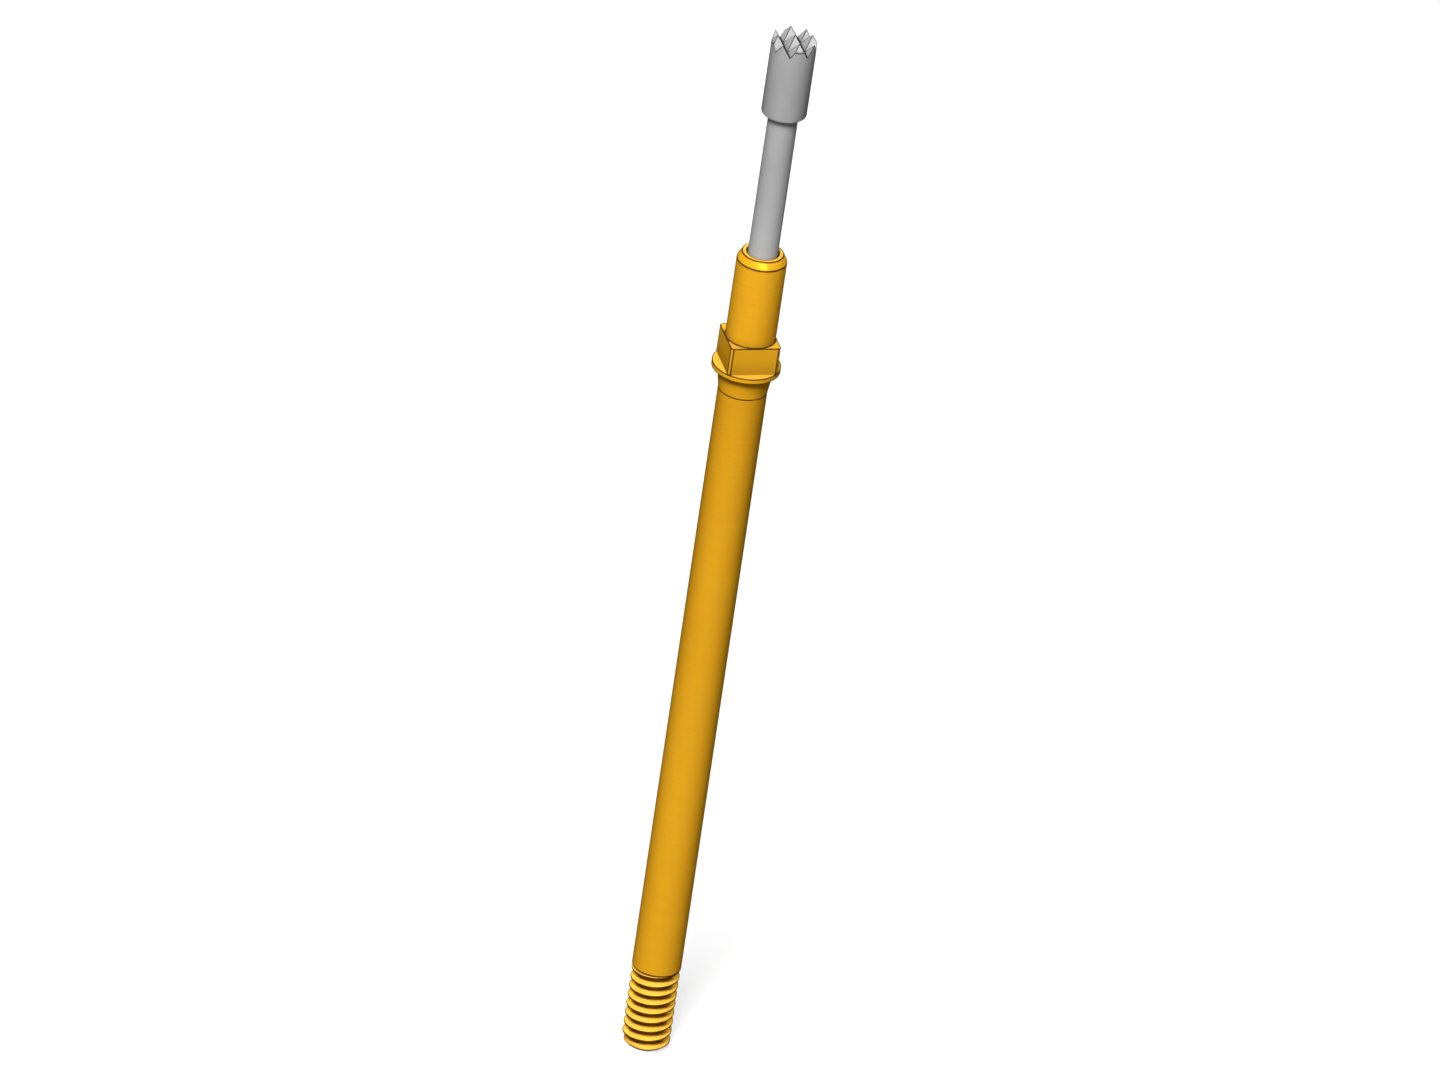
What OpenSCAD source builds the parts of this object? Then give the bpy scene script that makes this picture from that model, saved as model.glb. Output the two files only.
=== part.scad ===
// Spring-loaded contact probe that screws into a receptacle.
// The origin is the centre of the collar's underside. +Z points along the axis to the crown.

/* [Serrated head] */
// Outer diameter of the head
head_d = 1.30; // [1.20:0.01:1.36]
// Length of the head, from its underside to the points
head_l = 2.51; // [1.80:0.01:3.20]
// Distance between neighbouring points of the crown
point_pitch = 0.51; // [0.44:0.01:0.56]
// Depth of the V grooves between the points
groove_depth = 0.40; // [0.25:0.01:0.50]
// Width of the flat left on top of each point
point_flat = 0.02; // [0.01:0.005:0.06]

/* [Plunger] */
// Diameter of the stem between the head and the barrel
stem_d = 0.86; // [0.78:0.01:0.90]
// Full travel of the plunger into the barrel
travel = 4.30; // [3.00:0.05:5.00]
// Distance left between the head and the mouth at full travel
head_stand_off = 0.28; // [0.10:0.01:0.60]
// Length of the bearing that runs in the bore
bearing_l = 4.60; // [3.00:0.05:6.00]
// Radial clearance between the bearing and the bore
bearing_gap = 0.015; // [0.010:0.001:0.030]
// Slope of the tail face that pushes on the ball, in degrees
tail_slope = 20; // [0:1:30]

/* [Barrel mouth] */
// Outer diameter of the flat rim round the stem
rim_d = 1.20; // [1.12:0.01:1.30]
// Height of the bevel that is rolled in below the rim
bevel_h = 0.23; // [0.15:0.01:0.35]
// Radial clearance between the stem and the mouth hole
mouth_gap = 0.03; // [0.02:0.005:0.05]
// Length of the mouth hole's straight wall
mouth_land = 0.12; // [0.08:0.01:0.20]
// Angle between the axis and the seat inside the rolled mouth, in degrees
seat_angle = 30; // [25:1:45]
// Play between that seat and the plunger's shoulder, measured square to the seat
seat_gap = 0.01; // [0.005:0.001:0.020]

/* [Barrel] */
// Diameter of the tube above the square
top_tube_d = 1.45; // [1.38:0.01:1.46]
// Length of the tube above the square, up to the rim
top_tube_l = 2.765; // [1.800:0.005:4.000]
// Width of the square across its flats
square_w = 1.47; // [1.47:0.01:1.60]
// Height of the square above the collar
square_h = 0.865; // [0.600:0.005:1.400]
// Diameter of the collar, and across the square's turned corners
collar_d = 1.98; // [1.88:0.01:2.05]
// Thickness of the collar
collar_t = 0.16; // [0.10:0.01:0.30]
// Diameter of the centring cone where it meets the collar
cone_d = 1.63; // [1.55:0.01:1.80]
// Length of the centring cone
cone_l = 0.68; // [0.40:0.01:1.20]
// Diameter of the shank that goes down the receptacle
shank_d = 1.42; // [1.41:0.01:1.48]
// Length of the shank below the cone
shank_l = 19.18; // [16.00:0.02:22.00]
// Diameter of the bore
bore_d = 1.10; // [1.04:0.01:1.12]
// Solid length between the end of the bore's wall and the end of the shank
floor_t = 0.95; // [0.70:0.01:1.50]
// Included angle of the drill point at the bottom of the bore, in degrees
drill_angle = 118; // [90:2:140]

/* [Threaded tail] */
// Outer diameter of the thread
thread_d = 1.40; // [1.30:0.01:1.40]
// Pitch of the thread
thread_pitch = 0.30; // [0.25:0.05:0.35]
// Length of the threaded tail
thread_l = 2.57; // [1.60:0.01:4.00]
// Chamfer at the end of the tail
end_chamfer = 0.13; // [0.05:0.01:0.20]

/* [Spring] */
// Diameter of the spring's wire
wire_d = 0.18; // [0.14:0.01:0.20]
// Number of working coils
coils = 36; // [26:1:38]
// Radial clearance between the spring and the bore
spring_gap = 0.04; // [0.03:0.01:0.06]

/* [Ball] */
// Radial clearance between the ball and the bore
ball_gap = 0.05; // [0.02:0.01:0.08]
// Play between the ball and each part that it touches
touch_gap = 0.005; // [0.002:0.001:0.010]

/* [Hidden] */
$fn = 96;
// Length by which joined and cutting shapes run into each other
over = 0.05;

// Radii
head_r = head_d / 2;
stem_r = stem_d / 2;
bore_r = bore_d / 2;
shank_r = shank_d / 2;
collar_r = collar_d / 2;
mouth_r = stem_r + mouth_gap;
bearing_r = bore_r - bearing_gap;
ball_r = bore_r - ball_gap;
spring_r = bore_r - spring_gap;
spring_inner_r = spring_r - wire_d;
coil_r = spring_r - wire_d / 2;

// Levels along the axis
square_top = collar_t + square_h;
mouth_z = square_top + top_tube_l;
head_z = mouth_z + travel + head_stand_off;
tips_z = head_z + head_l;
shank_top = -cone_l;
shank_end = shank_top - shank_l;
tail_end = shank_end - thread_l;
bore_end = shank_end + floor_t;
drill_tip = bore_end - bore_r / tan(drill_angle / 2);

// The seat inside the rolled mouth, and the plunger's shoulder parallel to it
seat_top = mouth_z - mouth_land;
seat_bottom = seat_top - (bore_r - mouth_r) / tan(seat_angle);
shoulder_drop = seat_gap / sin(seat_angle);
shoulder_top = seat_top + (mouth_r - stem_r) / tan(seat_angle) - shoulder_drop;
shoulder_bottom = seat_top - (bearing_r - mouth_r) / tan(seat_angle) - shoulder_drop;

// Chain from the plunger's tail through the ball to the spring
tail_low = shoulder_bottom - bearing_l;
tail_axis = tail_low + bearing_r * tan(tail_slope);
ball_z = tail_axis - (ball_r + touch_gap) / cos(tail_slope);
spring_top = ball_z - sqrt(pow(ball_r + touch_gap, 2) - pow(spring_inner_r, 2));
spring_bottom = bore_end - (bore_r - spring_r) / tan(drill_angle / 2) + touch_gap;

// One V groove across the crown, along Y
module groove() {
    top_w = point_pitch - point_flat;
    flank = top_w / 2 / groove_depth;
    rotate([90, 0, 0])
        linear_extrude(height = head_d + 2 * over, center = true)
            polygon([
                [0, tips_z - groove_depth],
                [top_w / 2 + over * flank, tips_z + over],
                [-top_w / 2 - over * flank, tips_z + over]
            ]);
}

// Four parallel grooves, which leave a point on the axis and one on each side of it
module groove_row() {
    for (step = [-1.5 : 1 : 1.5])
        translate([step * point_pitch, 0, 0])
            groove();
}

module plunger_blank() {
    rotate_extrude()
        polygon([
            [0, tips_z],
            [head_r, tips_z],
            [head_r, head_z],
            [stem_r, head_z],
            [stem_r, shoulder_top],
            [bearing_r, shoulder_bottom],
            [bearing_r, tail_low],
            [0, tail_low]
        ]);
}

// Wedge that slopes the tail face. It is deepest on the -X side.
module tail_cut() {
    reach = bearing_r + over;
    rotate([90, 0, 0])
        linear_extrude(height = 2 * reach, center = true)
            polygon([
                [-reach, tail_low - over],
                [reach, tail_low - over],
                [reach, tail_low - over * tan(tail_slope)],
                [-reach, tail_axis + reach * tan(tail_slope)]
            ]);
}

module plunger() {
    color([0.66, 0.66, 0.66])
        difference() {
            plunger_blank();
            groove_row();
            rotate([0, 0, 90])
                groove_row();
            tail_cut();
        }
}

// Turned outline of the barrel, with the collar but without the square and the thread
module barrel_turned() {
    rotate_extrude()
        polygon([
            [0, shank_end],
            [shank_r, shank_end],
            [shank_r, shank_top],
            [cone_d / 2, 0],
            [collar_r, 0],
            [collar_r, collar_t],
            [mouth_r, collar_t],
            [0, collar_t]
        ]);
    rotate_extrude()
        polygon([
            [0, square_top],
            [top_tube_d / 2, square_top],
            [top_tube_d / 2, mouth_z - bevel_h],
            [rim_d / 2, mouth_z],
            [0, mouth_z]
        ]);
}

// Square for the insertion tool, with its corners turned down to the collar
module square_drive() {
    intersection() {
        translate([0, 0, square_top / 2])
            cube([square_w, square_w, square_top], center = true);
        cylinder(r = collar_r, h = square_top);
    }
}

// Stepped bore with the seat in the mouth and the drill point at the bottom
module bore() {
    rotate_extrude()
        polygon([
            [0, mouth_z + over],
            [mouth_r, mouth_z + over],
            [mouth_r, seat_top],
            [bore_r, seat_bottom],
            [bore_r, bore_end],
            [0, drill_tip]
        ]);
}

// Thread form over one pitch: share of the pitch, and share of the depth that is filled
thread_depth = 0.6134 * thread_pitch;
crest_share = 1 / 8;
flank_share = thread_depth * tan(30) / thread_pitch;
root_share = 1 - crest_share - 2 * flank_share;
thread_form = [
    [0, 0],
    [root_share, 0],
    [root_share + flank_share / 2, 0.5],
    [root_share + flank_share, 1],
    [root_share + flank_share + crest_share, 1],
    [1 - flank_share / 2, 0.5],
    [1, 0]
];
thread_rows = len(thread_form) - 1;
thread_sides = 28;
thread_top = shank_end + over;
thread_start = tail_end - thread_pitch;
row_count = thread_rows * ceil((thread_top - thread_start) / thread_pitch);

// Height of a row of thread points on one side of the tail, before it is kept to the tail's length
function thread_z(side, row) =
    thread_start
    + thread_pitch * (floor(row / thread_rows) + thread_form[row % thread_rows][0] + side / thread_sides);

// Radius of the threaded tail on one side at a height, with the end chamfer
function thread_r(side, z) =
    let (
        turns = (z - thread_start) / thread_pitch - side / thread_sides,
        share = turns - floor(turns),
        full = lookup(share, thread_form)
    )
    min(thread_d / 2 - thread_depth * (1 - full), thread_d / 2 - end_chamfer + z - tail_end);

function thread_point(side, row) =
    let (
        z = max(tail_end, min(thread_top, thread_z(side, row))),
        r = thread_r(side, z),
        turn = 360 * side / thread_sides
    )
    [r * cos(turn), r * sin(turn), z];

// First and last rows that each side uses, so that the ends are flat
function first_row(side) =
    max([for (row = [0 : row_count]) if (thread_z(side, row) <= tail_end) row]);
function last_row(side) =
    min([for (row = [0 : row_count]) if (thread_z(side, row) >= thread_top) row]);
side_first = [for (side = [0 : thread_sides - 1]) first_row(side)];
side_last = [for (side = [0 : thread_sides - 1]) last_row(side)];

// Number of a thread point. The side after the last one is the first, one pitch further on.
function thread_index(side, row) =
    side == thread_sides
    ? thread_index(0, row + thread_rows)
    : side * (row_count + 1) + max(side_first[side], min(side_last[side], row));

function is_triangle(t) = t[0] != t[1] && t[1] != t[2] && t[2] != t[0];

module threaded_tail() {
    points = [
        for (side = [0 : thread_sides - 1], row = [0 : row_count])
            thread_point(side, row)
    ];
    wall = [
        for (side = [0 : thread_sides - 1], row = [-thread_rows : row_count - 1])
            let (
                a = thread_index(side, row),
                b = thread_index(side, row + 1),
                c = thread_index(side + 1, row + 1),
                d = thread_index(side + 1, row)
            )
            for (t = [[a, b, c], [a, c, d]])
                if (is_triangle(t)) t
    ];
    bottom = [for (side = [0 : thread_sides - 1]) thread_index(side, 0)];
    top = [for (side = [thread_sides - 1 : -1 : 0]) thread_index(side, row_count)];
    polyhedron(points = points, faces = concat(wall, [bottom, top]), convexity = 10);
}

module barrel() {
    color([0.90, 0.65, 0.12])
        union() {
            difference() {
                union() {
                    barrel_turned();
                    square_drive();
                }
                bore();
            }
            threaded_tail();
        }
}

// Spring wire: sides round the wire, and rings per turn
wire_sides = 6;
rings_per_turn = 16;
// Closed turns at each end, and the rise of one of them
closed_turns = 1;
closed_rise = wire_d * 1.03;
spring_rise = spring_top - spring_bottom - 2 * closed_turns * closed_rise;
all_turns = coils + 2 * closed_turns;
ring_count = all_turns * rings_per_turn;

// Height of the wire's centre above the spring's lower end after a number of turns
function wire_z(turns) =
    turns < closed_turns
    ? turns * closed_rise
    : turns > closed_turns + coils
    ? spring_rise + (turns - coils) * closed_rise
    : closed_turns * closed_rise + (turns - closed_turns) * spring_rise / coils;

// A point on the wire. The end coils are ground flat, so no point passes the spring's ends.
function wire_point(ring, side) =
    let (
        turns = ring / rings_per_turn,
        round_wire = 360 * (side + 0.5) / wire_sides,
        r = coil_r + wire_d / 2 * cos(round_wire),
        z = spring_bottom + wire_z(turns) + wire_d / 2 * sin(round_wire)
    )
    [r * cos(360 * turns), r * sin(360 * turns), max(spring_bottom, min(spring_top, z))];

// Triangles that close the wire at a ring. They fan out from a corner that the grinding leaves round.
function wire_end(ring, corner) =
    [
        for (step = [1 : wire_sides - 2])
            [for (turn = [0, step, step + 1]) ring * wire_sides + (corner + turn) % wire_sides]
    ];

function turned_over(triangles) = [for (t = triangles) [t[0], t[2], t[1]]];

module spring() {
    points = [
        for (ring = [0 : ring_count], side = [0 : wire_sides - 1])
            wire_point(ring, side)
    ];
    wall = [
        for (ring = [0 : ring_count - 1], side = [0 : wire_sides - 1])
            let (
                a = ring * wire_sides + side,
                b = ring * wire_sides + (side + 1) % wire_sides
            )
            for (t = [[a, b, b + wire_sides], [a, b + wire_sides, a + wire_sides]]) t
    ];
    ends = concat(turned_over(wire_end(0, 1)), wire_end(ring_count, 4));
    color([0.78, 0.78, 0.80])
        polyhedron(points = points, faces = concat(wall, ends), convexity = 10);
}

module bias_ball() {
    color([0.80, 0.80, 0.82])
        translate([0, 0, ball_z])
            sphere(r = ball_r);
}

barrel();
plunger();
spring();
bias_ball();
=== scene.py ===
import math

import bmesh
import bpy
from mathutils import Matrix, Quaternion, Vector


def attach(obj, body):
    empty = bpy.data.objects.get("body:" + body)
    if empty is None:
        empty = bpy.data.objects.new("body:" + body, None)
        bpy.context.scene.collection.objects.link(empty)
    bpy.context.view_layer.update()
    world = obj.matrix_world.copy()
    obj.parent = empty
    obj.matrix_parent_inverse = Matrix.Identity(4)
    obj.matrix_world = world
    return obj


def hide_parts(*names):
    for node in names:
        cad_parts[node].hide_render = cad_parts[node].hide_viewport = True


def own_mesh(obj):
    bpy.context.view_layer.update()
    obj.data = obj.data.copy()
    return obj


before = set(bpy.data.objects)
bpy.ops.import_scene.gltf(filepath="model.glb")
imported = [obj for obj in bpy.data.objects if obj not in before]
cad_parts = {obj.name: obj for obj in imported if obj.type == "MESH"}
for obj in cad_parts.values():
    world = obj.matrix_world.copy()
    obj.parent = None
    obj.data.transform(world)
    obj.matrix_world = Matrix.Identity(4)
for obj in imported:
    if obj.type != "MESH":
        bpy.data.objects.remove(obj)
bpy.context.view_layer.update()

print("frame loaded with", ", ".join(sorted(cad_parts)))

# Pieces are modelled in millimetres and brought to metres when they are finished
mmPerMetre = 1000
metresPerMm = 1 / mmPerMetre
weldDistance = 0.0003      # points nearer to each other than this are merged
cutDistance = 0.00001      # points nearer to a cutting plane than this lie on it
slack = 0.001              # how far off its place a point may be
zAxis = (0, 0, 1)


def addOutline(bm, points):
    # a chain of (radius, height, rounding) points in the XZ plane, whose two ends stay sharp
    verts = [bm.verts.new((radius, 0, height)) for radius, height, rounding in points]
    for a, b in zip(verts, verts[1:]):
        bm.edges.new((a, b))
    for vert, point in zip(verts[1:-1], points[1:-1]):
        if point[2]:
            bmesh.ops.bevel(bm, geom=[vert], affect="VERTICES", offset=point[2], segments=3,
                            profile=0.5, material=-1)
    return bm.verts[:] + bm.edges[:]


def spinArcs(bm, geom, arcs):
    # one after another, each arc is (angle in degrees, steps)
    for angle, steps in arcs:
        turned = bmesh.ops.spin(bm, geom=geom, cent=(0, 0, 0), axis=zAxis, dvec=(0, 0, 0),
                                angle=math.radians(angle), steps=steps, use_merge=False,
                                use_duplicate=False)
        geom = turned["geom_last"]
    bmesh.ops.remove_doubles(bm, verts=bm.verts, dist=weldDistance)


def radiusOf(vert):
    return math.hypot(vert.co.x, vert.co.y)


def setRadius(vert, radius):
    scale = radius / radiusOf(vert)
    vert.co.x *= scale
    vert.co.y *= scale


def closeBottom(bm, height):
    # fills the open border that lies in the plane at that height
    border = [e for e in bm.edges
              if e.is_boundary and all(abs(v.co.z - height) < slack for v in e.verts)]
    bmesh.ops.triangle_fill(bm, use_beauty=True, use_dissolve=False, edges=border,
                            normal=(0, 0, -1))


def addObject(name, data):
    added = bpy.data.objects.new(name, data)
    bpy.context.scene.collection.objects.link(added)
    return added


def addMesh(bm, name, material):
    mesh = bpy.data.meshes.new(name)
    bm.to_mesh(mesh)
    bm.free()
    mesh.materials.append(material)
    return addObject(name, mesh)


def finishPiece(bm, name, material, body, nodes, sharpAngle=28):
    bmesh.ops.remove_doubles(bm, verts=bm.verts, dist=weldDistance)
    bmesh.ops.dissolve_degenerate(bm, dist=weldDistance / 3, edges=bm.edges)
    bmesh.ops.recalc_face_normals(bm, faces=bm.faces)
    for face in bm.faces:
        face.smooth = True
    for edge in bm.edges:
        if edge.is_manifold and edge.calc_face_angle(0) > math.radians(sharpAngle):
            edge.smooth = False
    openCount = sum(1 for e in bm.edges if not e.is_manifold)
    bmesh.ops.scale(bm, vec=(metresPerMm,) * 3, verts=bm.verts)
    piece = addMesh(bm, name, material)
    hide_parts(*nodes)
    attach(piece, body)
    print(f"{name}: {len(piece.data.polygons)} faces, {openCount} edges open")
    return piece


class Wire:
    # a socket in a node tree; arithmetic on it adds Math nodes
    def __init__(self, tree, socket=None):
        self.tree, self.socket = tree, socket

    def make(self, kind, settings, inputs, output=0):
        made = self.tree.nodes.new(kind)
        for key, value in settings.items():
            setattr(made, key, value)
        for key, value in inputs.items():
            if isinstance(value, Wire):
                self.tree.links.new(value.socket, made.inputs[key])
            else:
                made.inputs[key].default_value = value
        return Wire(self.tree, made.outputs[output] if made.outputs else None)

    def math(self, operation, a, b=0.0):
        return self.make("ShaderNodeMath", {"operation": operation}, {0: a, 1: b})

    def __add__(self, other):
        return self.math("ADD", self, other)

    def __sub__(self, other):
        return self.math("SUBTRACT", self, other)

    def __rsub__(self, other):
        return self.math("SUBTRACT", other, self)

    def __mul__(self, other):
        return self.math("MULTIPLY", self, other)

    def __truediv__(self, other):
        return self.math("DIVIDE", self, other)

    __radd__ = __add__
    __rmul__ = __mul__

    def size(self):
        return self.math("ABSOLUTE", self)

    def squareRoot(self):
        return self.math("SQRT", self)

    def fraction(self):
        return self.math("FRACT", self)

    def larger(self, other):
        return self.math("MAXIMUM", self, other)

    def ramp(self, low, high):
        # 0 at low, 1 at high, smooth between them
        return self.make("ShaderNodeMapRange", {"interpolation_type": "SMOOTHSTEP", "clamp": True},
                         {"Value": self, "From Min": low, "From Max": high,
                          "To Min": 0.0, "To Max": 1.0})

    def rampBy(self, place, offsets):
        # a ramp whose low and high are given as offsets from a place
        return self.ramp(place + offsets[0], place + offsets[1])

    def band(self, place, width):
        # 1 at place, falling to 0 at width on either side
        return 1 - (self - place).size().ramp(0.0, width)

    def noise(self, cells, detail=2.0, roughness=0.6):
        # cells are counted per millimetre along x, y and z
        placed = self.make("ShaderNodeMapping", {},
                           {"Vector": self, "Scale": [count * mmPerMetre for count in cells]})
        return self.make("ShaderNodeTexNoise", {"noise_dimensions": "3D"},
                         {"Vector": placed, "Scale": 1.0, "Detail": detail, "Roughness": roughness})

    def mixColour(self, a, b):
        # self is the factor from colour a to colour b
        return self.make("ShaderNodeMix", {"data_type": "RGBA"}, {0: self, 6: a, 7: b}, 2)


def newMaterial(name):
    material = bpy.data.materials.new(name)
    material.use_nodes = True
    material.node_tree.nodes.clear()
    wire = Wire(material.node_tree)
    return material, wire, wire.make("ShaderNodeTexCoord", {}, {}, "Object")


def axisPlaces(coords):
    # x, y, the distance from the axis and the height, in millimetres
    parts = coords.make("ShaderNodeSeparateXYZ", {}, {0: coords}).socket.node.outputs
    x, y, z = (Wire(coords.tree, socket) * mmPerMetre for socket in parts)
    return x, y, (x * x + y * y).squareRoot(), z


def makeSurface(wire, inputs):
    shader = wire.make("ShaderNodeBsdfPrincipled", {}, inputs)
    wire.make("ShaderNodeOutputMaterial", {}, {"Surface": shader})


# The gold and the plunger's steel share a thin tinted coat, which darkens what is seen at a low angle
metalCoat = {"tint": (0.86, 0.86, 0.86, 1), "ior": 1.01, "roughness": 1.0}


def makeTurnedMetal(wire, finish, colour, roughness, marks):
    normal = wire.make("ShaderNodeBump", {}, {
        "Strength": 1.0, "Distance": finish["markDepth"] * metresPerMm, "Height": marks})
    makeSurface(wire, {
        "Base Color": colour, "Metallic": finish["metallic"], "Roughness": roughness,
        "Normal": normal, "Specular IOR Level": 0.0, "Specular Tint": finish["edgeTint"],
        "Coat Weight": 1.0, "Coat Roughness": metalCoat["roughness"],
        "Coat IOR": metalCoat["ior"], "Coat Tint": metalCoat["tint"]})


# Lengths are in millimetres, and a fade is the (low, high) of a ramp, as offsets from an edge
goldFinish = {
    "plate": (0.72, 0.355, 0.014, 1),
    "plateWarm": (0.66, 0.31, 0.010, 1),
    # painted highlight, on the thread's flanks and on the faces that look up
    "paintedHighlight": (0.84, 0.49, 0.06, 1),
    # painted shade, in the thread's roots, on the tail's chamfer and inside the bore
    "deepShade": (0.30, 0.12, 0.006, 1),
    # painted shade on the square's flats and at the foot of the upper tube
    "shade": (0.36, 0.20, 0.010, 1),
    "line": (0.085, 0.032, 0.004, 1),
    "edgeTint": (0.25, 0.13, 0.03, 1),       # tint of the plate where it is seen edge on
    "metallic": 0.09,
    "roughness": 0.36,

    # clouding of the plate and turning marks
    "cloud": {"cells": (0.45, 0.45, 0.18), "detail": 3.0, "roughness": 0.55},
    "rings": {"cells": (0.25, 0.25, 9.0)},
    "fineRings": {"cells": (0.9, 0.9, 34.0)},
    "grain": {"cells": (16, 16, 16)},
    "markShares": (0.5, 0.3, 0.2),           # of the rings, the fine rings and the grain
    "markDepth": 0.008,                      # height of the turning marks
    "cloudLimits": (0.35, 0.68), "markLimits": (0.40, 0.60), "highlightLimits": (0.30, 0.62),
    "cloudWarmth": 0.6, "markWarmth": 0.4,
    "markRoughness": 0.30, "cloudRoughness": 0.14, "flankPolish": 0.08, "rootRoughness": 0.1,

    # thread and bore: where each place begins, and how much painted highlight and painted shade it
    # gets
    "threadFade": (-0.02, 0), "flankFade": (0.01, 0.06), "rootFade": (0.004, 0.03),
    "crestFade": (-0.022, -0.008), "tailFade": (0.08, 0.15), "boreFade": (0.002, 0.03),
    "flankHighlight": 0.55, "cloudHighlight": 0.35,      # the second is added in the clouds
    "rootShade": 0.8, "tailShade": 0.7, "boreShade": 0.6,

    # faces that look up, sides of the square and foot of the upper tube
    "stepFade": (0, 0.02), "mouthFade": (-0.02, -0.01), "tubeFade": (0, 0.01),
    "topBand": 0.02, "topHighlight": 0.7,
    "flatShade": 0.35, "flatFootShade": 0.45, "flatFoot": 0.5,
    "cornerLift": 0.5,                       # the turned corners lose this share of the shade
    "tubeFoot": 0.3, "tubeFootShade": 0.5,

    # dark lines along the edges and in the inner corners
    "lineWidth": 0.042,
    "coneLine": 0.8, "cornerLine": 0.6, "sideLine": 0.5,       # widths as shares of lineWidth
    "lineStrength": 1.7, "crestLine": 0.58,  # the second is for the thread's crest
}


def makeGold(sizes):
    s = goldFinish
    material, wire, coords = newMaterial("goldPlate")
    x, y, radius, height = axisPlaces(coords)
    cloud = coords.noise(**s["cloud"])
    ringShare, fineShare, grainShare = s["markShares"]
    marks = ringShare * coords.noise(**s["rings"]) + fineShare * coords.noise(**s["fineRings"]) \
        + grainShare * coords.noise(**s["grain"])

    # the thread's flanks, roots, crests and lower end, and the inside of the bore
    rootR = sizes["threadR"] - sizes["threadDepth"]
    below = 1 - height.rampBy(sizes["shankEnd"], s["threadFade"])
    flank = radius.rampBy(rootR, s["flankFade"]) * below
    root = (1 - radius.rampBy(rootR, s["rootFade"])) * below
    crest = radius.rampBy(sizes["threadR"], s["crestFade"]) * below
    tailFoot = (1 - height.rampBy(sizes["tailEnd"], s["tailFade"])) * below
    inside = (1 - radius.rampBy(sizes["mouthR"], s["boreFade"])) * (1 - below)
    # painted highlight on the thread's flanks, a little clouded
    paintedHighlight = flank * (s["flankHighlight"] + cloud.ramp(*s["highlightLimits"]) * s["cloudHighlight"])

    # dark lines along the turned edges, as (radius, height), and round the square
    width = s["lineWidth"]
    lines = height.band(sizes["shankTop"], width * s["coneLine"]) \
        + height.band(sizes["shankEnd"], width) + crest * s["crestLine"]
    for edgeR, edgeZ in sizes["edges"]:
        lines = lines + radius.band(edgeR, width) * height.band(edgeZ, width)
    across = x.size().larger(y.size())
    turned = radius.band(sizes["collarR"], width * s["cornerLine"])
    outline = across.band(sizes["squareR"], width).larger(turned)
    squareSide = height.rampBy(sizes["collarT"], s["stepFade"]) \
        * (1 - height.rampBy(sizes["squareTop"], s["stepFade"]))
    lines = lines + outline * height.band(sizes["squareTop"], width) \
        + across.band(sizes["squareR"], width * s["sideLine"]) * turned * squareSide

    # faces that look up get a painted highlight, the milled flats of the square get painted shade,
    # deeper at their foot, and the foot of the upper tube gets painted shade
    tops = height.band(sizes["collarT"], s["topBand"]) \
        .larger(height.band(sizes["squareTop"], s["topBand"])) \
        .larger(height.rampBy(sizes["mouthZ"], s["mouthFade"]))
    # painted shade on the square's flats, deeper at their foot and weaker on the turned corners
    flatShade = s["flatShade"] + height.band(sizes["collarT"], s["flatFoot"]) * s["flatFootShade"]
    flats = squareSide * flatShade * (1 - turned * s["cornerLift"])
    # painted shade at the foot of the upper tube, next to the square's top
    tubeFoot = height.rampBy(sizes["squareTop"], s["tubeFade"]) \
        * height.band(sizes["squareTop"], s["tubeFoot"])

    warmth = cloud.ramp(*s["cloudLimits"]) * s["cloudWarmth"] \
        + marks.ramp(*s["markLimits"]) * s["markWarmth"]
    # painted shade in the thread's roots, on the tail's chamfer, which faces down, and inside the bore
    paintedShade = root * s["rootShade"] + tailFoot * s["tailShade"] + inside * s["boreShade"]
    colour = warmth.mixColour(s["plate"], s["plateWarm"])
    colour = (paintedHighlight + tops * s["topHighlight"]).mixColour(colour, s["paintedHighlight"])
    colour = (flats + tubeFoot * s["tubeFootShade"]).mixColour(colour, s["shade"])
    colour = paintedShade.mixColour(colour, s["deepShade"])
    colour = (lines * s["lineStrength"]).mixColour(colour, s["line"])
    roughness = s["roughness"] + (marks - 0.5) * s["markRoughness"] \
        + (cloud - 0.5) * s["cloudRoughness"] - paintedHighlight * s["flankPolish"] + root * s["rootRoughness"]
    makeTurnedMetal(wire, s, colour, roughness, marks)
    return material


steelFinish = {
    "steel": (0.375, 0.375, 0.375, 1),
    "steelDark": (0.335, 0.335, 0.34, 1),
    # painted highlight on the crown's tips
    "paintedHighlight": (0.50, 0.50, 0.49, 1),
    # painted shade in the crown's grooves
    "deepShade": (0.20, 0.20, 0.20, 1),
    "line": (0.030, 0.030, 0.032, 1),
    "edgeTint": (0.20, 0.20, 0.20, 1),       # tint of the steel where it is seen edge on
    "metallic": 0.09,
    "roughness": 0.38,

    # clouding and turning marks
    "cloud": {"cells": (0.7, 0.7, 0.35), "detail": 3.0, "roughness": 0.55},
    "rings": {"cells": (0.3, 0.3, 12.0)},
    "fineRings": {"cells": (1.0, 1.0, 40.0)},
    "markShares": (0.55, 0.45),              # of the rings and the fine rings
    "markDepth": 0.0045,                     # height of the turning marks
    "cloudLimits": (0.35, 0.68),
    "markRoughness": 0.30, "cloudRoughness": 0.14, "tipPolish": 0.06,

    # painted highlight on the tips of the crown and painted shade in its grooves
    "tipFade": (-0.06, 0), "crownFade": (-0.03, -0.01),
    "valleyFade": (-0.012, -0.003), "facetFade": (-0.006, -0.002),
    "valleyDepth": 0.55,                     # grooves darken from this share of their depth down
    "tipHighlight": 0.6, "valleyShade": 0.35,

    # dark lines along the edges of the crown's facets and round the neck
    "lineWidth": 0.034,
    "ridgeLine": 0.8, "grooveLine": 0.7, "sawLine": 0.75, "sawFade": 0.4,    # shares of lineWidth
    "grooveStrength": 0.8, "neckStrength": 0.6, "neckBand": 0.035,
    "lineStrength": 1.7,
}


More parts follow.
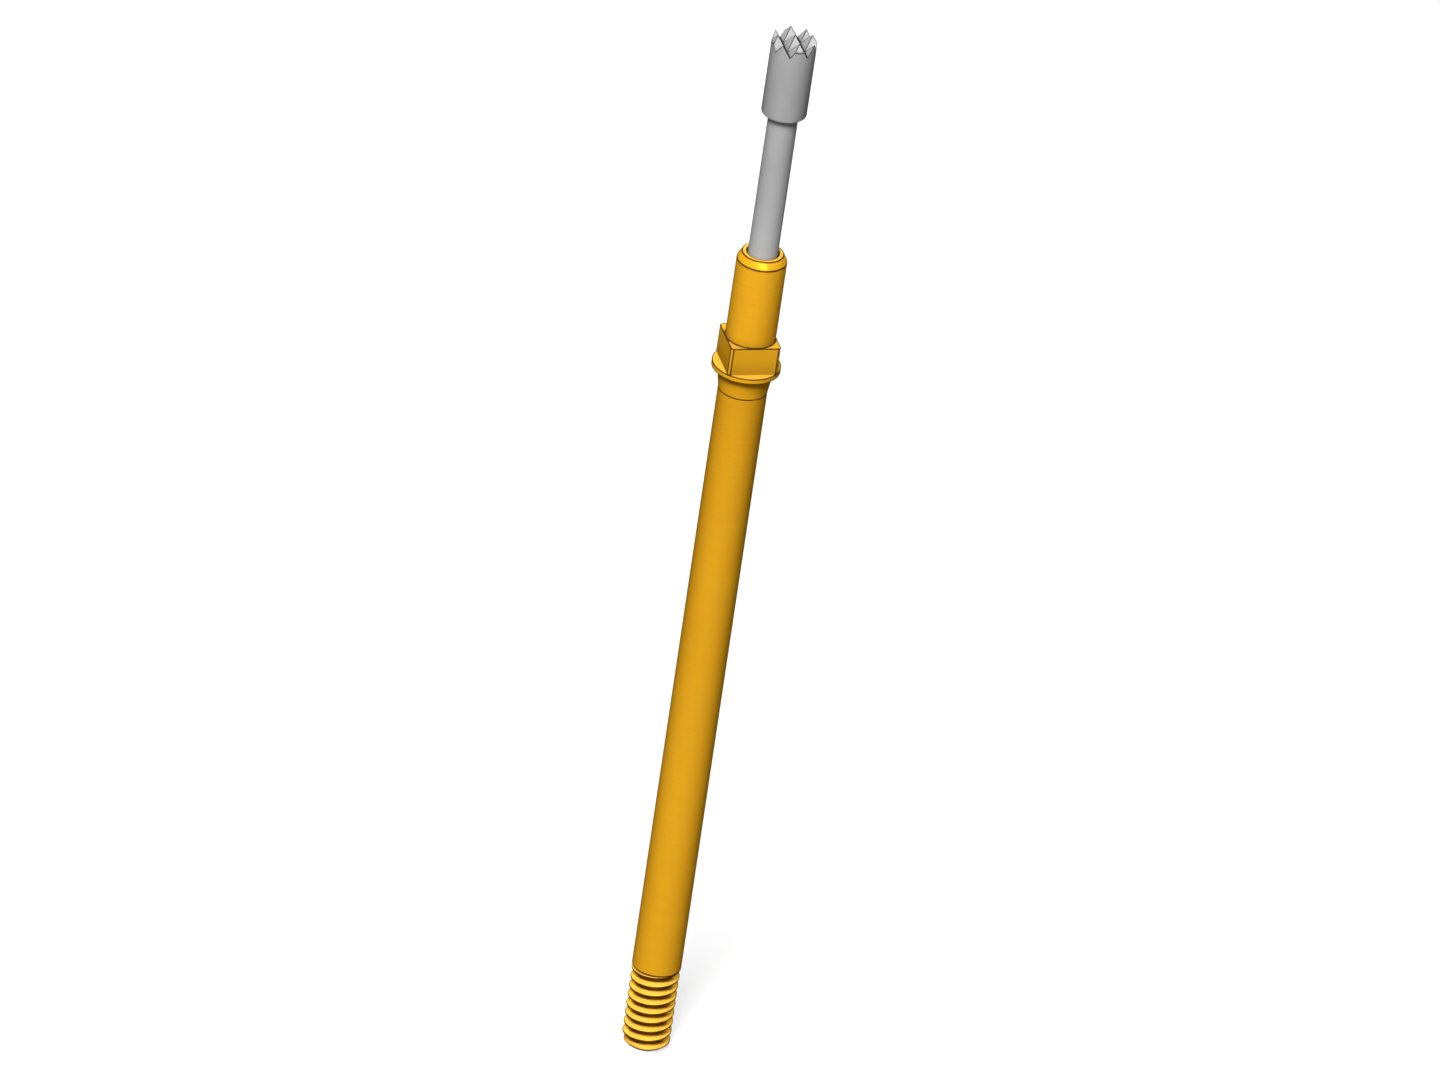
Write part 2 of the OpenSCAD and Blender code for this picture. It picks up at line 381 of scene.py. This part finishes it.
def makeSteel(sizes):
    s = steelFinish
    material, wire, coords = newMaterial("plungerSteel")
    x, y, radius, height = axisPlaces(coords)
    cloud = coords.noise(**s["cloud"])
    ringShare, fineShare = s["markShares"]
    marks = ringShare * coords.noise(**s["rings"]) + fineShare * coords.noise(**s["fineRings"])

    # the crown's tips, grooves and facets, and the edge between the head and the stem
    grooveFloor = sizes["tips"] - sizes["grooveDepth"]
    crown = height.rampBy(grooveFloor, s["crownFade"])
    tips = height.rampBy(sizes["tips"], s["tipFade"])
    valleyTop = sizes["tips"] - sizes["grooveDepth"] * s["valleyDepth"]
    valleys = (1 - height.ramp(grooveFloor, valleyTop)) * crown \
        * (1 - radius.rampBy(sizes["headR"], s["valleyFade"]))
    facets = crown * (1 - radius.rampBy(sizes["headR"], s["facetFade"]))
    neck = height.band(sizes["headZ"], s["neckBand"])

    # how far a point is from the nearest tip along x and y, with whole pitches added to stay above 0
    width, pitch, wholePitches = s["lineWidth"], sizes["pitch"], 20
    away = [((place / pitch + (wholePitches + 0.5)).fraction() - 0.5).size() * pitch
            for place in (x, y)]
    deepest = away[0].larger(away[1])
    ridges = (away[0] - away[1]).band(0.0, width * s["ridgeLine"])
    grooves = deepest.ramp(pitch / 2 - width * s["grooveLine"], pitch / 2)
    saw = radius.ramp(sizes["headR"] - width, sizes["headR"] - width * s["sawFade"]) \
        * (height + deepest * sizes["grooveSlope"]).band(sizes["tips"], width * s["sawLine"])
    lines = facets * ridges.larger(grooves * s["grooveStrength"]).larger(saw) \
        + saw * (1 - facets) + neck * s["neckStrength"]

    colour = cloud.ramp(*s["cloudLimits"]).mixColour(s["steel"], s["steelDark"])
    # painted highlight on the crown's tips
    colour = (tips * s["tipHighlight"]).mixColour(colour, s["paintedHighlight"])
    # painted shade in the crown's grooves, deeper towards their floor
    colour = (valleys * s["valleyShade"]).mixColour(colour, s["deepShade"])
    colour = (lines * s["lineStrength"]).mixColour(colour, s["line"])
    roughness = s["roughness"] + (marks - 0.5) * s["markRoughness"] \
        + (cloud - 0.5) * s["cloudRoughness"] - tips * s["tipPolish"]
    makeTurnedMetal(wire, s, colour, roughness, marks)
    return material


wireFinish = {
    "steel": (0.52, 0.52, 0.54, 1),
    "oxide": (0.40, 0.38, 0.36, 1),
    "metallic": 0.9, "roughness": 0.30,
    "cloud": {"cells": (2.2, 2.2, 2.2), "detail": 3.0}, "cloudLimits": (0.4, 0.7),
    "drawn": {"cells": (5.0, 5.0, 60.0)}, "drawnDepth": 0.001, "drawnStrength": 0.4,
    "drawnRoughness": 0.2, "cloudRoughness": 0.1,
}


def makeSpringWire():
    s = wireFinish
    material, wire, coords = newMaterial("springWire")
    cloud = coords.noise(**s["cloud"])
    drawn = coords.noise(**s["drawn"])
    colour = cloud.ramp(*s["cloudLimits"]).mixColour(s["steel"], s["oxide"])
    roughness = s["roughness"] + (drawn - 0.5) * s["drawnRoughness"] \
        + (cloud - 0.5) * s["cloudRoughness"]
    normal = wire.make("ShaderNodeBump", {}, {
        "Strength": s["drawnStrength"], "Distance": s["drawnDepth"] * metresPerMm, "Height": drawn})
    makeSurface(wire, {"Base Color": colour, "Metallic": s["metallic"], "Roughness": roughness,
                       "Normal": normal})
    return material


ballFinish = {
    "steel": (0.62, 0.62, 0.63, 1),
    "steelDark": (0.54, 0.54, 0.56, 1),
    "metallic": 1.0, "roughness": 0.12,
    "cloud": {"cells": (1.6, 1.6, 1.6), "detail": 3.0}, "cloudLimits": (0.4, 0.7),
    "lapping": {"cells": (40, 40, 40)},
    "lappingRoughness": 0.08, "cloudRoughness": 0.06,
}


def makeBallSteel():
    s = ballFinish
    material, wire, coords = newMaterial("ballSteel")
    cloud = coords.noise(**s["cloud"])
    lapping = coords.noise(**s["lapping"])
    colour = cloud.ramp(*s["cloudLimits"]).mixColour(s["steel"], s["steelDark"])
    roughness = s["roughness"] + (lapping - 0.5) * s["lappingRoughness"] \
        + (cloud - 0.5) * s["cloudRoughness"]
    makeSurface(wire, {"Base Color": colour, "Metallic": s["metallic"], "Roughness": roughness})
    return material


# Barrel: turned body with the collar, the square, the rolled mouth, the bore and the thread
barrelSizes = {
    "rimD": 1.20, "bevelH": 0.23, "mouthR": 0.46, "mouthLand": 0.12, "seatAngle": 30,
    "topTubeD": 1.45, "topTubeL": 2.765,
    "squareW": 1.47, "squareH": 0.865, "markInset": 0.12,
    "collarD": 1.98, "collarT": 0.16,
    "coneD": 1.63, "coneL": 0.68,
    "shankD": 1.42, "shankL": 19.18,
    "boreD": 1.10, "floorT": 0.95, "drillAngle": 118,
    "threadD": 1.40, "pitch": 0.30, "threadL": 2.57, "endChamfer": 0.13,
    "threadAngle": 60, "depthShare": 0.6134,                  # depth of the thread per pitch
    "softEdge": 0.012, "rimEdge": 0.022, "mouthEdge": 0.01, "squareEdge": 0.006, "endEdge": 0.006,
    "cornerArc": 2.8,                        # degrees in which a flat runs into a turned corner
    "flatSteps": 52, "cornerSteps": 9, "turnedSteps": 4,
    "threadSides": 96, "threadRound": 0.012, "flankCuts": 4, "flankMin": 0.03,
}
s = barrelSizes
squareTop = s["collarT"] + s["squareH"]
mouthZ = squareTop + s["topTubeL"]
shankTop = -s["coneL"]
shankEnd = shankTop - s["shankL"]
tailEnd = shankEnd - s["threadL"]
boreEnd = shankEnd + s["floorT"]
boreR = s["boreD"] / 2
seatTop = mouthZ - s["mouthLand"]
seatBottom = seatTop - (boreR - s["mouthR"]) / math.tan(math.radians(s["seatAngle"]))
drillTip = boreEnd - boreR / math.tan(math.radians(s["drillAngle"] / 2))
rimR, tubeR, coneR, shankR = (s[name] / 2 for name in ("rimD", "topTubeD", "coneD", "shankD"))
collarR = s["collarD"] / 2
threadR = s["threadD"] / 2
threadDepth = s["depthShare"] * s["pitch"]
markR = collarR - s["markInset"]         # stands in for the square until the outline is spun


def squareRadius(vert):
    # from the axis to the square with its turned corners, in the direction of the point
    angle = math.atan2(vert.co.y, vert.co.x)
    flat = s["squareW"] / 2 / max(abs(math.cos(angle)), abs(math.sin(angle)))
    soft = s["softEdge"]
    blend = max(0.0, min(1.0, 0.5 + (collarR - flat) / (2 * soft)))
    return collarR * (1 - blend) + flat * blend - soft * blend * (1 - blend)


def makeBody(bm):
    soft = s["softEdge"]
    outline = addOutline(bm, [
        (shankR - s["endEdge"], shankEnd, 0),
        (shankR, shankEnd + s["endEdge"], 0),
        (shankR, shankTop, 0),
        (coneR, 0, 0),
        (collarR, 0, soft),
        (collarR, s["collarT"], soft),
        (markR, s["collarT"], 0),
        (markR, squareTop, s["squareEdge"]),
        (tubeR, squareTop, 0),
        (tubeR, mouthZ - s["bevelH"], s["rimEdge"]),
        (rimR, mouthZ, s["rimEdge"]),
        (s["mouthR"], mouthZ, s["mouthEdge"]),
        (s["mouthR"], seatTop, 0),
        (boreR, seatBottom, 0),
        (boreR, boreEnd, 0),
        (0, drillTip, 0),
    ])

    # a quarter turn is a flat, a turned corner and the short arcs between them
    corner = math.degrees(math.acos(s["squareW"] / s["collarD"]))
    arc = s["cornerArc"]
    start = Quaternion(zAxis, math.radians(arc / 2 - corner))
    bmesh.ops.rotate(bm, cent=(0, 0, 0), matrix=start.to_matrix(), verts=bm.verts)
    quarter = [(2 * corner - arc, s["flatSteps"]), (arc, s["cornerSteps"]),
               (90 - 2 * corner - arc, s["turnedSteps"]), (arc, s["cornerSteps"])]
    spinArcs(bm, outline, quarter * 4)
    for vert in bm.verts:
        radius, height = radiusOf(vert), vert.co.z
        onSquare = abs(radius - markR) < s["squareEdge"] + slack
        if s["collarT"] - slack <= height <= squareTop + slack and onSquare:
            setRadius(vert, squareRadius(vert) + radius - markR)
        elif s["collarT"] - 2 * soft <= height <= s["collarT"] + slack and radius > markR:
            setRadius(vert, max(radius, squareRadius(vert)))
    bmesh.ops.remove_doubles(bm, verts=bm.verts, dist=weldDistance)


def makeThread(bm):
    # a helical rib, spun upwards by one pitch for each turn, then cut square at both ends
    rise, rounding = s["pitch"], s["threadRound"]
    rootR = threadR - threadDepth
    flank = threadDepth * math.tan(math.radians(s["threadAngle"] / 2))
    root = rise * 7 / 8 - 2 * flank          # the crest is an eighth of the pitch
    points = []
    for turn in range(-2, math.ceil(s["threadL"] / rise) + 1):
        z = tailEnd + turn * rise
        points += [(rootR, z, rounding), (rootR, z + root, rounding),
                   (threadR, z + root + flank, rounding), (threadR, z + rise - flank, rounding)]
    thread = bmesh.new()
    addOutline(thread, points)
    flanks = [e for e in thread.edges if e.calc_length() > s["flankMin"]]
    bmesh.ops.subdivide_edges(thread, edges=flanks, cuts=s["flankCuts"])
    bmesh.ops.spin(thread, geom=thread.verts[:] + thread.edges[:], cent=(0, 0, 0), axis=zAxis,
                   dvec=(0, 0, rise / s["threadSides"]), angle=2 * math.pi,
                   steps=s["threadSides"], use_merge=False, use_duplicate=False)
    bmesh.ops.remove_doubles(thread, verts=thread.verts, dist=weldDistance)
    for height, side in ((shankEnd, 1), (tailEnd, -1)):
        bmesh.ops.bisect_plane(thread, geom=thread.verts[:] + thread.edges[:] + thread.faces[:],
                               dist=cutDistance, plane_co=(0, 0, height), plane_no=(0, 0, side),
                               clear_outer=True)
    for vert in thread.verts:
        limit = threadR - s["endChamfer"] + vert.co.z - tailEnd
        if radiusOf(vert) > limit:
            setRadius(vert, limit)
    closeBottom(thread, tailEnd)
    mesh = bpy.data.meshes.new("thread")
    thread.to_mesh(mesh)
    thread.free()
    bm.from_mesh(mesh)
    bpy.data.meshes.remove(mesh)
    closeBottom(bm, shankEnd)


goldPlate = makeGold({
    "shankEnd": shankEnd, "shankTop": shankTop, "tailEnd": tailEnd,
    "threadR": threadR, "threadDepth": threadDepth,
    "collarR": collarR, "collarT": s["collarT"], "squareR": s["squareW"] / 2,
    "squareTop": squareTop, "mouthR": s["mouthR"], "mouthZ": mouthZ,
    "edges": [(collarR, 0), (collarR, s["collarT"]), (coneR, 0), (tubeR, squareTop),
              (tubeR, mouthZ - s["bevelH"]), (rimR, mouthZ), (s["mouthR"], mouthZ)],
})
barrelMesh = bmesh.new()
makeBody(barrelMesh)
makeThread(barrelMesh)
finishPiece(barrelMesh, "barrelShell", goldPlate, "barrel", ["barrel"])

# Plunger: serrated head, stem, shoulder and the bearing with its sloped tail
plungerSizes = {
    "headD": 1.30, "headL": 2.51, "pointPitch": 0.51, "grooveDepth": 0.40, "pointFlat": 0.02,
    "stemD": 0.86, "travel": 4.30, "standOff": 0.28,
    "bearingD": 1.07, "bearingL": 4.60, "tailSlope": 20, "seatPlay": 0.01,
    "headEdge": 0.018, "tailEdge": 0.012,
    "shoulderEdge": 0.01, "stemStep": 0.003, "bearingStep": 0.004,     # height and radial steps
    "tailMargin": 0.05,                      # from the top of the slope up to the last level ring
    "sides": 192,
}
p = plungerSizes
headZ = mouthZ + p["travel"] + p["standOff"]
tipsZ = headZ + p["headL"]
headR = p["headD"] / 2
stemR = p["stemD"] / 2
bearingR = p["bearingD"] / 2
seatSlope = math.tan(math.radians(s["seatAngle"]))
shoulderDrop = p["seatPlay"] / math.sin(math.radians(s["seatAngle"]))
shoulderTop = seatTop + (s["mouthR"] - stemR) / seatSlope - shoulderDrop
shoulderBottom = seatTop - (bearingR - s["mouthR"]) / seatSlope - shoulderDrop
tailLow = shoulderBottom - p["bearingL"]
tailRise = math.tan(math.radians(p["tailSlope"]))
grooveSlope = 2 * p["grooveDepth"] / (p["pointPitch"] - p["pointFlat"])


def crownDepth(place):
    # how far one set of V grooves lowers the crown at a distance from the axis
    pitch = p["pointPitch"]
    fromPoint = abs((place / pitch + 0.5) % 1 - 0.5) * pitch
    return max(0.0, fromPoint - p["pointFlat"] / 2) * grooveSlope


def drawRing(bm, rim, radius, heightOf):
    # draws the open rim out to a new ring, where heightOf gives the height of each of its points
    drawn = bmesh.ops.extrude_edge_only(bm, edges=rim)["geom"]
    for vert in [g for g in drawn if isinstance(g, bmesh.types.BMVert)]:
        setRadius(vert, radius)
        vert.co.z = heightOf(vert)
    return [g for g in drawn if isinstance(g, bmesh.types.BMEdge) and g.is_boundary]


def makePlunger(bm):
    bmesh.ops.create_circle(bm, cap_ends=True, cap_tris=False, segments=p["sides"], radius=headR)
    pitch, flat, rows = p["pointPitch"], p["pointFlat"] / 2, (-1, 0, 1)
    straight = [n * pitch + side for n in rows for side in (-flat, flat)] + [-pitch / 2, pitch / 2]
    slanted = [n * pitch / math.sqrt(2) for n in rows]
    cuts = [(Vector((1, 0, 0)), place) for place in straight]
    cuts += [(Vector((0, 1, 0)), place) for place in straight]
    cuts += [(Vector((1, side, 0)).normalized(), place) for place in slanted for side in (1, -1)]
    for normal, place in cuts:
        bmesh.ops.bisect_plane(bm, geom=bm.verts[:] + bm.edges[:] + bm.faces[:], dist=cutDistance,
                               plane_co=normal * place, plane_no=normal)
    rim = [e for e in bm.edges if e.is_boundary]
    for vert in bm.verts:
        vert.co.z = tipsZ - max(crownDepth(vert.co.x), crownDepth(vert.co.y))

    # rings down the plunger as (radius, height), then two along the sloped tail
    edge, small = p["headEdge"], p["shoulderEdge"]
    rings = [
        (headR, headZ + edge * 2), (headR - edge * 0.3, headZ + edge * 0.8),
        (headR - edge, headZ + edge * 0.1), (headR - edge * 2, headZ),
        (stemR + edge, headZ), (stemR, headZ - edge),
        (stemR, shoulderTop + small), (stemR + p["stemStep"], shoulderTop - small),
        (bearingR - p["bearingStep"], shoulderBottom + small), (bearingR, shoulderBottom - small),
        (bearingR, tailLow + 2 * bearingR * tailRise + p["tailMargin"]),
    ]
    for radius, height in rings:
        rim = drawRing(bm, rim, radius, lambda vert: height)
    for inset, lift in ((0, p["tailEdge"]), (p["tailEdge"], 0)):
        rim = drawRing(bm, rim, bearingR - inset,
                       lambda vert: tailLow + (bearingR - vert.co.x) * tailRise + lift)
    bmesh.ops.contextual_create(bm, geom=rim)


plungerSteel = makeSteel({"tips": tipsZ, "grooveDepth": p["grooveDepth"], "pitch": p["pointPitch"],
                          "grooveSlope": grooveSlope, "headR": headR, "headZ": headZ})
plungerMesh = bmesh.new()
makePlunger(plungerMesh)
finishPiece(plungerMesh, "plungerShell", plungerSteel, "plunger", ["plunger"])

# Ball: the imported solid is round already, so it only gets its finish
ballSizes = {"boreGap": 0.05, "touchGap": 0.005}
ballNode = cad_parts["bias_ball"]
ballNode.data.materials.clear()
ballNode.data.materials.append(makeBallSteel())
ballR = boreR - ballSizes["boreGap"]
touchGap = ballSizes["touchGap"]
tailAxis = tailLow + bearingR * tailRise
ballZ = tailAxis - (ballR + touchGap) / math.cos(math.radians(p["tailSlope"]))
print("ball finished at", round(ballZ, 4))

# Spring: closed turn, working coils, closed turn, with both ends ground flat
springSizes = {
    "wireD": 0.18, "coils": 36, "clearance": 0.04,
    "closedRise": 1.03,                      # rise of a closed turn, in wire diameters
    "wireSides": 10, "stepsPerTurn": 24, "sharpAngle": 50,
}
w = springSizes
springR = boreR - w["clearance"]
coilR = springR - w["wireD"] / 2
springTop = ballZ - math.sqrt((ballR + touchGap) ** 2 - (springR - w["wireD"]) ** 2)
springBottom = boreEnd + touchGap \
    - (boreR - springR) / math.tan(math.radians(s["drillAngle"] / 2))
springLength = springTop - springBottom


def makeSpring(bm):
    steps = w["stepsPerTurn"]
    closed = w["closedRise"] * w["wireD"]
    working = (springLength - 2 * closed) / w["coils"]
    bmesh.ops.create_circle(bm, cap_ends=True, cap_tris=False, segments=w["wireSides"],
                            radius=w["wireD"] / 2)
    upright = Quaternion((1, 0, 0), math.pi / 2).to_matrix()
    bmesh.ops.rotate(bm, cent=(0, 0, 0), matrix=upright, verts=bm.verts)
    bmesh.ops.translate(bm, vec=(coilR, 0, springBottom), verts=bm.verts)
    geom = bm.verts[:] + bm.edges[:] + bm.faces[:]
    for turns, rise in ((1, closed), (w["coils"], working), (1, closed)):
        turned = bmesh.ops.spin(bm, geom=geom, cent=(0, 0, 0), axis=zAxis,
                                dvec=(0, 0, rise / steps), angle=turns * 2 * math.pi,
                                steps=turns * steps, use_merge=False, use_duplicate=False)
        geom = turned["geom_last"]
    for vert in bm.verts:
        vert.co.z = max(springBottom, min(springTop, vert.co.z))


springMesh = bmesh.new()
makeSpring(springMesh)
spring = finishPiece(springMesh, "springCoil", makeSpringWire(), "barrel", ["spring"],
                     w["sharpAngle"])
springBottom * metresPerMm
(springLength - p["travel"]) / springLength
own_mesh(spring)

# Floor, light and camera, in metres and degrees
studio = {
    "floorR": 1.2, "floorSides": 96, "floorDrop": 0.00001,
    "floorColour": (0.74, 0.74, 0.74, 1),    # takes the object's shadow
    "bounce": (0.10, 0.10, 0.10, 1),         # colour of the floor's light on the object
    "shadowR": (0.035, 0.11),                # the shadow is whole inside the first, gone at the second
    "whiteShare": 0.66,                      # how much of the floor by the object is plain white
    "ambient": 0.02,
    "key": {"azimuth": -31, "elevation": 50, "distance": 0.80, "size": 0.28, "power": 13.2},
    "backRight": {"azimuth": 130, "elevation": 20, "distance": 0.90, "size": 0.7, "power": 6.5},
    "backLeft": {"azimuth": -170, "elevation": 20, "distance": 0.90, "size": 0.7, "power": 6.5},
    # the front and top lamps are for the metal only
    "front": {"azimuth": -4, "elevation": 28, "distance": 0.90, "size": 0.42, "power": 14.0},
    "top": {"azimuth": -18, "elevation": 86, "distance": 0.90, "size": 0.42, "power": 8.3},
}
white = (1, 1, 1, 1)


def direction(azimuth, elevation):
    a, e = math.radians(azimuth), math.radians(elevation)
    return Vector((math.sin(a) * math.cos(e), -math.cos(a) * math.cos(e), math.sin(e)))


def seenDirectly(wire):
    # 1 for what the camera sees straight, in a reflection or through glass
    sockets = wire.make("ShaderNodeLightPath", {}, {}).socket.node.outputs
    camera, glossy, through = (Wire(wire.tree, sockets[name]) for name in
                               ("Is Camera Ray", "Is Glossy Ray", "Is Transmission Ray"))
    return wire.make("ShaderNodeMath", {"operation": "ADD", "use_clamp": True},
                     {0: camera + glossy, 1: through})


def makeFloor():
    material, wire, coords = newMaterial("studioFloor")
    radius = axisPlaces(coords)[2]
    lit = wire.make("ShaderNodeBsdfDiffuse", {}, {"Color": studio["floorColour"]})
    plain = wire.make("ShaderNodeEmission", {}, {"Color": white, "Strength": 1.0})
    near, far = (distance * mmPerMetre for distance in studio["shadowR"])
    share = studio["whiteShare"] + radius.ramp(near, far) * (1 - studio["whiteShare"])
    seen = wire.make("ShaderNodeMixShader", {}, {0: share, 1: lit, 2: plain})
    bounce = wire.make("ShaderNodeBsdfDiffuse", {}, {"Color": studio["bounce"]})
    surface = wire.make("ShaderNodeMixShader", {}, {0: seenDirectly(wire), 1: bounce, 2: seen})
    wire.make("ShaderNodeOutputMaterial", {}, {"Surface": surface})
    bm = bmesh.new()
    bmesh.ops.create_circle(bm, cap_ends=True, cap_tris=False, segments=studio["floorSides"],
                            radius=studio["floorR"])
    bmesh.ops.translate(bm, vec=(0, 0, tailEnd * metresPerMm - studio["floorDrop"]),
                        verts=bm.verts)
    floor = addMesh(bm, "studioFloor", material)


def makeWorld():
    world = bpy.data.worlds.new("studioWorld")
    bpy.context.scene.world = world
    world.use_nodes = True
    world.node_tree.nodes.clear()
    wire = Wire(world.node_tree)
    ambient = wire.make("ShaderNodeBackground", {}, {"Color": white, "Strength": studio["ambient"]})
    plain = wire.make("ShaderNodeBackground", {}, {"Color": white, "Strength": 1.0})
    surface = wire.make("ShaderNodeMixShader", {}, {0: seenDirectly(wire), 1: ambient, 2: plain})
    wire.make("ShaderNodeOutputWorld", {}, {"Surface": surface})


def makeLamp(name, metalOnly=False):
    # a lamp for the metal only makes highlights and lights nothing else
    c = studio[name]
    lamp = bpy.data.lights.new(name, "AREA")
    lamp.shape = "DISK"
    lamp.size = c["size"]
    lamp.energy = c["power"]
    holder = addObject(name, lamp)
    towards = direction(c["azimuth"], c["elevation"])
    holder.location = towards * c["distance"]
    holder.rotation_mode = "QUATERNION"
    holder.rotation_quaternion = (-towards).to_track_quat("-Z", "Y")
    holder.visible_diffuse = not metalOnly


# aimZ and frameWidth are in millimetres
cameraSettings = {
    "azimuth": -18, "elevation": 30, "roll": 8.497, "aimZ": -5.72, "frameWidth": 40.87,
    "lens": 1000, "sensor": 36, "clip": (0.1, 10),            # clip as shares of the distance
}


def makeCamera():
    c = cameraSettings
    data = bpy.data.cameras.new("camera")
    data.lens, data.sensor_width = c["lens"], c["sensor"]
    distance = c["frameWidth"] * metresPerMm * data.lens / data.sensor_width
    data.clip_start, data.clip_end = (distance * share for share in c["clip"])
    camera = addObject("camera", data)
    back = direction(c["azimuth"], c["elevation"])
    roll = Quaternion(zAxis, math.radians(c["roll"]))
    camera.location = Vector((0, 0, c["aimZ"] * metresPerMm)) + back * distance
    camera.rotation_mode = "QUATERNION"
    camera.rotation_quaternion = (-back).to_track_quat("-Z", "Y") @ roll
    bpy.context.scene.camera = camera


makeFloor()
makeWorld()
for lampName in ("key", "backRight", "backLeft"):
    makeLamp(lampName)
for lampName in ("front", "top"):
    makeLamp(lampName, metalOnly=True)
makeCamera()
bpy.context.scene.view_settings.view_transform = "Standard"
print("floor, light and camera set")
